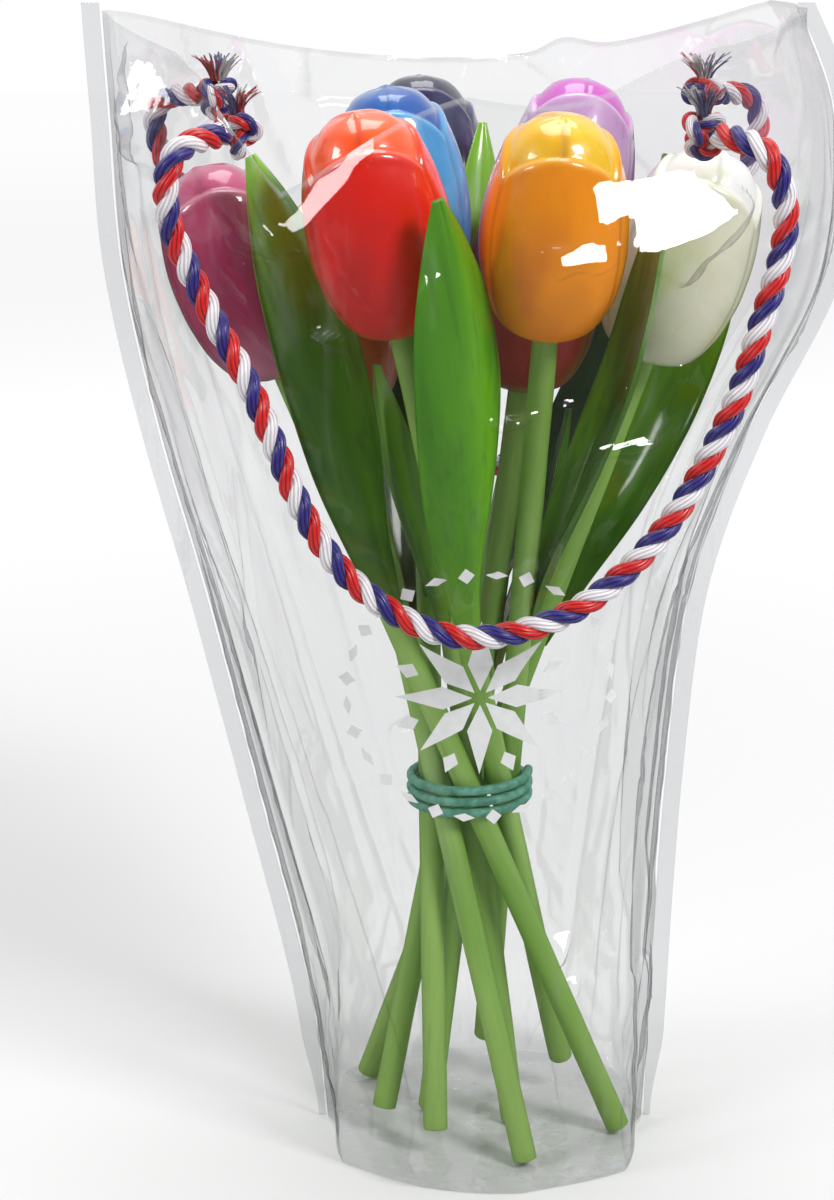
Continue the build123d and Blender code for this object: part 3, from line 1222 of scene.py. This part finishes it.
@dataclass(frozen=True)
class Handle:
    """A twisted cord between two holes of one film."""

    name: str
    side: int
    holes: tuple[float, float]
    knots: tuple[str, str]
    route: tuple[tuple[float, float, float], ...]
    diameter: float = 7.5 * MM
    lay: float = 18.5 * MM
    inner: float = 3.5 * MM
    outer: float = 13 * MM
    spacing: float = 1.1 * MM
    knot: Knot = Knot()

    def points(self, bag: Bag) -> list[Vector]:
        """Gives the route's points, from one knot to the other.

        Args:
            bag: The bag that it hangs on.
        Returns:
            The points in metres.
        """
        (left, left_out), (right, right_out) = (bag.hole(x * MM, self.side) for x in self.holes)
        made = [left - left_out * self.inner, left + left_out * self.outer]
        made += [Vector(point) * MM for point in self.route]
        return made + [right + right_out * self.outer, right - right_out * self.inner]

    def line(self, bag: Bag) -> list[Vector]:
        """Reads the smooth line that the route's points control.

        Args:
            bag: The bag that it hangs on.
        Returns:
            Points along the spline.
        """
        curve = bpy.data.curves.new(self.name + "_route", "CURVE")
        curve.dimensions = "3D"
        curve.resolution_u = 12
        spline = curve.splines.new("NURBS")
        points = self.points(bag)
        spline.points.add(len(points) - 1)
        for control, point in zip(spline.points, points):
            control.co = (*point, 1.0)
        spline.order_u = 3
        spline.use_endpoint_u = True
        holder = placed(self.name + "_route", curve)
        drawn = bpy.data.meshes.new_from_object(holder)
        line = [vert.co.copy() for vert in drawn.vertices]
        bpy.data.objects.remove(holder)
        bpy.data.curves.remove(curve)
        bpy.data.meshes.remove(drawn)
        return line

    def add(self, bag: Bag, yarns: Sequence[bpy.types.Material], seed: int) -> None:
        """Adds the cord and its two knots.

        Args:
            bag: The bag that it hangs on.
            yarns: The three strands' materials.
            seed: What sets the frayed ends.
        """
        line = even(self.line(bag), self.spacing)
        grid = Grid(self.name + "_twisted", True, ("along",))
        Rope(self.diameter, self.lay).add(grid, line)
        cord = grid.piece(Body.BAG.value, "tricolour_cord", yarns[:3], [self.name])
        for number, (x, node) in enumerate(zip(self.holes, self.knots)):
            self.add_knot(bag, x * MM, node, yarns, seed + number)

    def add_knot(
        self, bag: Bag, x: float, node: str, yarns: Sequence[bpy.types.Material], seed: int,
    ) -> bpy.types.Object:
        """Adds a knot with its frayed end.

        Args:
            bag: The bag that it sits in.
            x: The hole's place across.
            node: The CAD node that it stands for.
            yarns: The three strands' materials.
            seed: What sets the frayed end.
        Returns:
            The Blender object.
        """
        rng, knot = random.Random(seed), self.knot
        hole, outwards = bag.hole(x, self.side)
        centre = hole - outwards * (self.inner + knot.inset)
        up = Vector((0, 0, 1))
        across = up.cross(outwards).normalized()
        grid = Grid(node + "_tied", True, ("along",))
        Rope(knot.cord, knot.lay, seed).add(grid, knot.line(centre, across, up, outwards), 10)
        top = centre + up * knot.rise
        for yarn in range(knot.yarns):
            colour = yarn % 3
            angle, lean = (colour + rng.uniform(-0.4, 0.4)) * 2 * math.pi / 3, rng.uniform(0.25, 0.95)
            side = across * math.cos(angle) + outwards * math.sin(angle)
            root = top + side * rng.uniform(0.4 * MM, 2.2 * MM)
            height = rng.uniform(6, 8.5) * MM
            bend = rng.uniform(-1.2, 1.2) * MM
            rows = []
            for level in range(7):
                t = level / 6
                sway = side * (lean * height * t * t) + across * bend * math.sin(2.5 * t)
                middle = root + up * height * t + sway
                middle.z = min(middle.z, knot.top)
                rows.append(ring(middle, across, outwards, knot.width * (1 - 0.35 * t), 5, (t,)))
            grid.tube(rows, 3 + colour)
        return grid.piece(Body.BAG.value, "tricolour_cord", yarns, [node])


FRONT_ROUTE = (
    (-87, -79, 325), (-87, -74, 310), (-81, -71, 295), (-74, -73, 281), (-65, -78, 266), (-58, -80, 249),
    (-51, -80, 230), (-41, -79, 212), (-26, -78, 198), (-8, -77, 189), (12, -76, 190), (31, -73, 197),
    (47, -70, 210), (60, -67, 226), (69, -67, 244), (76, -69, 261), (80, -72, 279), (85, -72, 296),
    (87, -75, 312), (83, -80, 326),
)
BACK_ROUTE = (
    (-104, 68, 325), (-100, 64, 310), (-90, 65, 295), (-80, 70, 277), (-70, 75, 258), (-58, 79, 239),
    (-43, 79, 222), (-25, 78, 209), (-5, 77, 203), (15, 77, 206), (33, 75, 216), (49, 72, 230),
    (61, 71, 247), (71, 71, 265), (78, 72, 284), (86, 70, 297), (93, 69, 310), (96, 70, 325),
)


OLIVE = GreenPaint((0.27, 0.44, 0.1), (0.15, 0.27, 0.06), (0.42, 0.42, 0.14), (0.36, 0.56, 0.12))
BRIGHT = GreenPaint((0.42, 0.66, 0.07), (0.23, 0.43, 0.04), (0.42, 0.56, 0.12), (0.54, 0.78, 0.14))
FRONT = GreenPaint((0.46, 0.76, 0.06), (0.27, 0.56, 0.04), (0.5, 0.7, 0.2), (0.34, 0.62, 0.05))
STEM = GreenPaint((0.68, 0.82, 0.46), (0.5, 0.68, 0.28), (0.56, 0.7, 0.34), (0.54, 0.7, 0.3), 0.4, 0.5)

TULIPS = (
    Tulip("red", HeadPaint((0.95, 0.09, 0.01), (1.0, 0.36, 0.1), (0.86, 0.2, 0.13), (0.97, 0.3, 0.1),
                           (0.8, 0.08, 0.05), 0.15), FRONT, 37, leaf_width=32.5 * MM),
    Tulip("yellow", HeadPaint((1.0, 0.6, 0.0), (1.0, 0.8, 0.04), (0.97, 0.5, 0.06), (1.0, 0.74, 0.1),
                              (0.86, 0.44, 0.05), 0.2), BRIGHT, 101, leaf_width=27.9 * MM),
    Tulip("white", HeadPaint((0.9, 0.9, 0.8), (0.95, 0.95, 0.94), (0.86, 0.87, 0.74), (0.97, 0.97, 0.93),
                             (0.78, 0.82, 0.46), 0.4), BRIGHT, 150),
    Tulip("purple", HeadPaint((0.74, 0.58, 0.76), (0.78, 0.33, 0.74), (0.6, 0.3, 0.6), (0.92, 0.82, 0.93),
                              (0.66, 0.28, 0.64), 0.3), OLIVE, 66),
    Tulip("navy", HeadPaint((0.13, 0.12, 0.3), (0.1, 0.09, 0.24), (0.16, 0.18, 0.4), (0.25, 0.25, 0.45),
                            (0.08, 0.07, 0.2), 0.2), BRIGHT, 37, leaf_width=26.35 * MM),
    Tulip("orange", HeadPaint((0.95, 0.45, 0.14), (1.0, 0.6, 0.25), (0.9, 0.35, 0.12), (1.0, 0.66, 0.35),
                              (0.85, 0.34, 0.08), 0.25), OLIVE, 174, length=315.56 * MM),
    Tulip("raspberry", HeadPaint((0.68, 0.2, 0.37), (0.74, 0.26, 0.44), (0.82, 0.5, 0.6), (0.9, 0.62, 0.7),
                                 (0.56, 0.12, 0.28), 0.35), BRIGHT, 40, leaf_rise=191.5 * MM),
    Tulip("blue", HeadPaint((0.24, 0.58, 0.82), (0.08, 0.32, 0.64), (0.16, 0.42, 0.7), (0.5, 0.74, 0.9),
                            (0.18, 0.48, 0.76), 0.3), BRIGHT, 306,
          leaf_length=88 * MM, leaf_width=20 * MM, leaf_reach=12 * MM),
    Tulip("crimson", HeadPaint((0.72, 0.18, 0.15), (0.8, 0.26, 0.2), (0.6, 0.12, 0.12), (0.86, 0.4, 0.34),
                               (0.56, 0.08, 0.09), 0.25), OLIVE, 92,
          leaf_length=88 * MM, leaf_width=20 * MM, leaf_reach=12 * MM, leaf_rise=154.4 * MM,
          length=315.56 * MM),
)


@dataclass(frozen=True)
class Band:
    """The rubber band wound round the waist."""

    radius: float = 18.9 * MM
    pitch: float = 3.7 * MM
    wire: float = 1.5 * MM
    waist: float = 118 * MM
    turns: float = 2.5
    steps: int = 240
    sides: int = 14
    uneven: float = 0.12 * MM
    wander: float = 0.15 * MM

    def finish(self) -> bpy.types.Material:
        """Makes the worn teal rubber.

        Returns:
            The material.
        """
        s = Shader("teal_rubber")
        worn = s.noise((300, 300, 300), 3.0, 0.6)
        colour = s.mix(s.ramp(worn, 0.3, 0.7), paint(0.27, 0.52, 0.43), paint(0.42, 0.68, 0.58))
        return s.surface(Base_Color=colour, Roughness=0.5, Normal=s.bump(worn, 0.0002))

    def add(self) -> None:
        """Adds the winding."""
        line = []
        for step in range(self.steps + 1):
            turn = step / self.steps * self.turns
            angle = math.pi + turn * 2 * math.pi
            off = noise.noise(Vector((turn * 3, 1.7, 0)))
            out = self.radius + self.uneven * off
            height = self.waist + (turn - self.turns / 2) * self.pitch + self.wander * off
            line.append(Vector((out * math.cos(angle), out * math.sin(angle), height)))
        grid = Grid("rubber_band_wound", True, ("along",))
        grid.tube([
            ring(point, across, up, self.wire, self.sides, (index / self.steps,))
            for index, (point, across, up) in enumerate(carried(line))
        ])
        grid.piece(Body.BUNCH.value, "teal_rubber", [self.finish()], ["rubber_band"])


class Bunch:
    """The nine tulips and the band that ties them."""

    def __init__(self, tulips: Sequence[Tulip]) -> None:
        self.tulips = tulips

    def add(self) -> None:
        """Adds every tulip and the band."""
        form, stem_finish = HeadForm(), STEM.material("stem_paint")
        for seed, tulip in enumerate(self.tulips, 1):
            tulip.add_head(form, seed)
            tulip.add_stem(stem_finish, seed)
            tulip.add_leaf(seed)
        Band().add()


PANES = (
    Pane(-40 * MM, 322 * MM, 19 * MM, 4.5 * MM, 44, -31, 17, 1 * MM),
    Pane(51 * MM, 313 * MM, 21 * MM, 15 * MM, -28, 17.5, 24.5, 1.4 * MM),
    Pane(29 * MM, 302 * MM, 10 * MM, 5 * MM, 12, 18.5, 24.5, 1.8 * MM),
    Pane(29 * MM, 81 * MM, 3 * MM, 7 * MM, -8, 18, 35),
    Pane(33 * MM, 66 * MM, 2 * MM, 6 * MM, 10, 18, 35),
    Pane(-92 * MM, 338 * MM, 9 * MM, 15 * MM, -12, -32, 15),
    Pane(-12 * MM, 296 * MM, 2.5 * MM, 9 * MM, -30, 20.5, 24),
    Pane(60 * MM, 266 * MM, 2 * MM, 13 * MM, 20, 17, 26),
    Pane(26 * MM, 259 * MM, 22 * MM, 1.8 * MM, 15, 19, 27.2, 0.8 * MM),
    Pane(38 * MM, 244 * MM, 15 * MM, 1.4 * MM, 8, 18.8, 28, 0.8 * MM),
    Pane(-33 * MM, 276 * MM, 13 * MM, 1.4 * MM, -13, 22.7, 25.7, 0.8 * MM),
    Pane(-80 * MM, 300 * MM, 1.6 * MM, 14 * MM, 12, -32, 17, 0.8 * MM),
)


@dataclass(frozen=True)
class Ornament:
    """A plain printed star in a ring of diamonds, on the front film."""

    across: float = 2 * MM
    height: float = 166 * MM
    star: float = 26 * MM
    ring: float = 41 * MM
    off: float = 0.35 * MM
    points: int = 8
    count: int = 28

    def add(self, film: Film) -> None:
        """Adds the print.

        Args:
            film: The film that carries it.
        """
        grid = Grid("bag_front_print", False, ("rise",))
        waist = 0.46 * self.star
        for point in range(self.points):
            turn = point * 2 * math.pi / self.points
            self.diamond(grid, film, [
                (0.09 * self.star, turn), (waist, turn - 0.33), (self.star, turn), (waist, turn + 0.33),
            ])
        for point in range(self.count):
            turn = (point + 0.5) * 2 * math.pi / self.count
            long = 0.062 if point % 2 else 0.085
            deep = 2.6 * MM if point % 2 else 1.4 * MM
            self.diamond(grid, film, [
                (self.ring, turn - long), (self.ring + deep, turn),
                (self.ring, turn + long), (self.ring - deep, turn),
            ])
        for point in range(self.points):
            turn = (point + 0.5) * 2 * math.pi / self.points
            self.diamond(grid, film, [
                (0.78 * self.star, turn), (0.9 * self.star, turn - 0.11), (1.06 * self.star, turn),
                (0.9 * self.star, turn + 0.11),
            ])
        s = Shader("print_white")
        worn = s.noise((300, 300, 300), 2.0, 0.5)
        colour = s.mix(worn, paint(0.84, 0.85, 0.85), paint(0.93, 0.93, 0.93))
        finish = s.surface(Base_Color=colour, Roughness=0.5)
        grid.piece(Body.BAG.value, "clear_film", [finish], [])

    def diamond(self, grid: Grid, film: Film, corners: Sequence[tuple[float, float]]) -> None:
        """Adds one diamond that lies on the film.

        Args:
            grid: The mesh that takes it.
            film: The film.
            corners: Its corners as (reach, turn) from the print's middle.
        """
        flat = [Vector((self.across + r * math.sin(t), self.height + r * math.cos(t))) for r, t in corners]
        rows = []
        for level in range(7):
            v = level / 6
            row = []
            for step in range(7):
                u = step / 6
                x, z = flat[0].lerp(flat[1], u).lerp(flat[3].lerp(flat[2], u), v)
                middle, half, _ = film.bag.span(z)
                share = 1 - math.acos((x - middle) / half) / math.pi
                row.append((film.place(share, z, self.off), Vector((x, 0, z)), (0.5,)))
            rows.append(row)
        grid.tube(rows)


LONG_FOLDS = (
    ((0.07, 0.32), (0.2, 0.03)), ((0.13, 0.35), (0.29, 0.06)), ((0.21, 0.22), (0.38, 0.005)),
    ((0.93, 0.34), (0.77, 0.05)), ((0.86, 0.27), (0.68, 0.02)), ((0.8, 0.2), (0.83, 0.01)),
    ((0.05, 0.2), (0.12, 0.01)), ((0.96, 0.26), (0.9, 0.02)), ((0.5, 0.12), (0.36, 0.01)),
    ((0.56, 0.1), (0.66, 0.005)),
)


FILM = ClearFinish((0.935, 0.937, 0.942), (0.8, 0.805, 0.815), 0.05, 0.0003)
FOOT = ClearFinish((0.985, 0.986, 0.988), (0.8, 0.805, 0.81), 0.4, 0.0012)
WELD = ClearFinish((0.9, 0.905, 0.912), (0.64, 0.65, 0.67), 0.16, 0.0006)
YARNS = (
    ("red_yarn", Yarn((0.88, 0.05, 0.06), (0.6, 0.01, 0.03))),
    ("blue_yarn", Yarn((0.2, 0.16, 0.54), (0.08, 0.06, 0.3))),
    ("white_yarn", Yarn((0.96, 0.94, 0.95), (0.76, 0.74, 0.78))),
    ("red_fray", Yarn((0.93, 0.16, 0.15), (0.86, 0.08, 0.08), 1.0)),
    ("blue_fray", Yarn((0.3, 0.27, 0.66), (0.22, 0.18, 0.55), 1.0)),
    ("white_fray", Yarn((0.98, 0.97, 0.97), (0.92, 0.9, 0.92), 1.0)),
)


class Wrap:
    """The bag with its handles."""

    def __init__(self, bag: Bag, handles: Sequence[Handle]) -> None:
        self.bag = bag
        self.handles = handles

    def creases(self, seed: int, count: int) -> list[Crease]:
        """Draws the creases of one film.

        Args:
            seed: What sets them.
            count: How many there are.
        Returns:
            The creases.
        """
        rng = random.Random(seed)
        made = []
        for _ in range(count):
            share, height = rng.uniform(0.1, 0.9), rng.uniform(0.005, 0.3)
            slant = rng.gauss(0, 0.35) + (share - 0.5) * 0.6
            length = rng.uniform(0.03, 0.12) if height > 0.08 else rng.uniform(0.02, 0.05)
            end = (share + slant * length * 4, height + length)
            made.append(Crease((share, height), end, rng.uniform(1.2, 4) * MM, rng.uniform(1.0, 2.6) * MM))
        return made + [Crease(start, end, 2.2 * MM, 2.6 * MM) for start, end in LONG_FOLDS]

    def add(self) -> None:
        """Adds the films, the welds, the foot and the handles."""
        finish, foot_finish = FILM.material("clear_film"), FOOT.material("clear_foot")
        weld_finish = WELD.material("clear_weld")
        for handle, name, seed in zip(self.handles, ("front", "back"), (11, 23)):
            cord = [Vector(point) * MM for point in handle.route]
            panes = PANES if handle.side < 0 else ()
            film = Film(self.bag, handle.side, self.creases(seed, 30), panes, cord, seed)
            holes = [self.bag.hole(x * MM, handle.side)[0] for x in handle.holes]
            film.piece("bag_" + name + "_sheet", "bag_" + name + "_film", holes, finish)
            if handle.side < 0:
                Ornament().add(film)
        self.add_foot(foot_finish)
        self.add_weld("bag_left_seam", "bag_left_weld", -1, weld_finish)
        self.add_weld("bag_right_seam", "bag_right_weld", 1, weld_finish)
        yarns = [yarn.material(name) for name, yarn in YARNS]
        for seed, handle in enumerate(self.handles):
            handle.add(self.bag, yarns, 40 + 10 * seed)

    def add_foot(self, finish: bpy.types.Material) -> None:
        """Adds the film that the stems stand on.

        Args:
            finish: Its material.
        """
        circles, turns = 24, 96
        middle, half, depth = self.bag.span(0)
        rows = []
        for circle in range(1, circles + 1):
            share = circle / circles
            row = []
            for turn in range(turns):
                angle = turn * 2 * math.pi / turns
                place = Vector((middle + half * share * math.cos(angle), depth * share * math.sin(angle), 0))
                out = self.bag.gather(math.atan2(place.y, place.x), 0) * blend(0.6, 1.0, share)
                place += place.normalized() * out * blend(0.0, 0.2, abs(math.sin(angle)))
                place.z = (0.25 + 0.2 * noise.noise(place * 60)) * MM
                row.append((place, place, (share,)))
            rows.append(row)
        grid = Grid("bag_foot_sheet", False, ("rise",))
        grid.tube([row + row[:1] for row in rows])
        bmesh.ops.remove_doubles(grid.mesh, verts=grid.mesh.verts, dist=1e-7)
        bmesh.ops.recalc_face_normals(grid.mesh, faces=grid.mesh.faces)
        grid.piece(Body.BAG.value, "clear_film", [finish], ["bag_foot_film"])

    def add_weld(self, name: str, node: str, side: int, finish: bpy.types.Material) -> None:
        """Adds a ribbed seam where the two films are welded.

        Args:
            name: The piece's name.
            node: The CAD node that it stands for.
            side: -1 on the left and 1 on the right.
            finish: Its material.
        """
        across, up = 12, 420
        front, back = [], []
        for level in range(up + 1):
            height = 0.5 * MM + (self.bag.height - 1 * MM) * level / up
            left, right, _ = self.bag.section(height)
            reach = left if side < 0 else right
            rib = 0.14 * MM * math.sin(level * math.pi / 2)
            row = []
            for step in range(across + 1):
                share = step / across
                off = (0.5 + 5.4 * share * (1 - 0.6 * blend(32 * MM, 2 * MM, height))) * MM
                wave = 0.5 * MM * share * math.sin(height * 90) * math.sin(height * 31 + 1)
                ridge = rib * blend(0.1, 0.2, share) * blend(0.9, 0.8, share)
                thick = (0.16 + 0.12 * bell((share - 0.12) / 0.06)) * MM
                row.append((side * (reach + off), wave + ridge, thick, height, share))
            for made, way, points in ((front, -1, row), (back, 1, row[::-1])):
                made.append([
                    (Vector((x, y + way * thick, z)), Vector((x, y, z)), (share, 0.0))
                    for x, y, thick, z, share in points
                ])
        grid = Grid(name, True, ("rise", "hem"))
        grid.tube([a + b for a, b in zip(front, back)])
        grid.piece(Body.BAG.value, "clear_weld", [finish], [node])


class Studio:
    """The floor, the lamps and the camera."""

    lamps = (
        ("key", (0.75, -0.75, 1.05), 0.34, 13),
        ("side", (-1.0, -0.5, 0.75), 0.32, 5),
        ("top", (0.0, 0.25, 1.3), 0.6, 5),
    )
    lens = 85
    sensor = 36
    place = (-0.017, -0.867, 0.423)
    tilt = math.radians(15.7)
    target = Vector((0, 0, 0.22))
    levels = ((0.3, 0.72), (0.07, 0.9))

    def add(self) -> None:
        """Adds everything round the object."""
        self.add_floor()
        self.add_world()
        for lamp in self.lamps:
            self.add_lamp(*lamp)
        camera = bpy.data.cameras.new("camera")
        camera.lens = self.lens
        camera.sensor_width = self.sensor
        holder = placed("camera", camera)
        holder.location = self.place
        holder.rotation_euler = (math.pi / 2 - self.tilt, 0, 0)
        bpy.context.scene.camera = holder
        bpy.context.scene.view_settings.view_transform = "Standard"

    def add_floor(self) -> None:
        """Adds the pale floor, which ends short of the camera."""
        mesh = bmesh.new()
        bmesh.ops.create_grid(mesh, x_segments=8, y_segments=8, size=2.0)
        bmesh.ops.translate(mesh, verts=mesh.verts, vec=(0, 1.5, 0))
        data = bpy.data.meshes.new("floor")
        mesh.to_mesh(data)
        mesh.free()
        floor = placed("floor", data)
        s = Shader("floor")
        ray = s.node("LightPath")
        seen = s.sum("MAXIMUM", ray.outputs["Is Camera Ray"], ray.outputs["Is Transmission Ray"])
        tone = s.mix(ray.outputs["Is Glossy Ray"], (0.76, 0.76, 0.76), (0.07, 0.07, 0.07))
        matte = s.node("BsdfDiffuse", Color=tone).outputs[0]
        place = s.node("TexCoord").outputs["Object"]
        away = s.node("VectorMath", {"operation": "LENGTH"}, i0=place).outputs["Value"]
        wash = s.sum("ADD", s.ramp(away, 0.15, 1.2, 0.03, 0.44), s.ramp(away, 1.2, 3.2, 0.0, 0.14))
        glow = s.node("Emission", Color=(1.0, 1.0, 1.0), Strength=s.times(seen, wash)).outputs[0]
        data.materials.append(s.ended(s.node("AddShader", i0=matte, i1=glow).outputs[0]))

    def add_world(self) -> None:
        """Adds the surroundings: a white backdrop, and a dimmer room in front of it."""
        world = bpy.data.worlds.new("studio")
        bpy.context.scene.world = world
        world.use_nodes = True
        n = Nodes(world.node_tree)
        ray = n.node("LightPath").outputs
        depth = n.node("SeparateXYZ", Vector=n.node("TexCoord").outputs["Generated"]).outputs["Y"]
        spread, mirrored = [
            n.node("MapRange", i0=depth, i1=-0.5, i2=0.5, i3=front, i4=behind).outputs[0]
            for front, behind in self.levels
        ]
        strength = n.node("Mix", i0=ray["Is Glossy Ray"], i2=spread, i3=mirrored).outputs[0]
        for kind in ("Is Transmission Ray", "Is Camera Ray"):
            strength = n.node("Mix", i0=ray[kind], i2=strength, i3=1.0).outputs[0]
        back = n.tree.nodes["Background"]
        back.inputs["Color"].default_value = (1, 1, 1, 1)
        n.tree.links.new(strength, back.inputs["Strength"])

    def add_lamp(self, name: str, place: Rgb, size: float, power: float) -> None:
        """Adds a soft lamp that looks at the bunch.

        Args:
            name: The lamp's name.
            place: Where it hangs.
            size: Its side in metres.
            power: Its power in watts.
        """
        lamp = bpy.data.lights.new(name, "AREA")
        lamp.size = size
        lamp.energy = power
        holder = placed(name, lamp)
        holder.location = place
        holder.rotation_euler = (self.target - Vector(place)).to_track_quat("-Z", "Y").to_euler()


def main() -> None:
    """Builds the scene."""
    logging.basicConfig(level=logging.INFO, format="%(message)s")
    Studio().add()
    handles = (
        Handle("front_cord", -1, (-74, 70), ("front_left_knot", "front_right_knot"), FRONT_ROUTE),
        Handle("back_cord", 1, (-88, 82), ("back_left_knot", "back_right_knot"), BACK_ROUTE),
    )
    Wrap(Bag(), handles).add()
    Bunch(TULIPS).add()


if __name__ == "__main__":
    main()
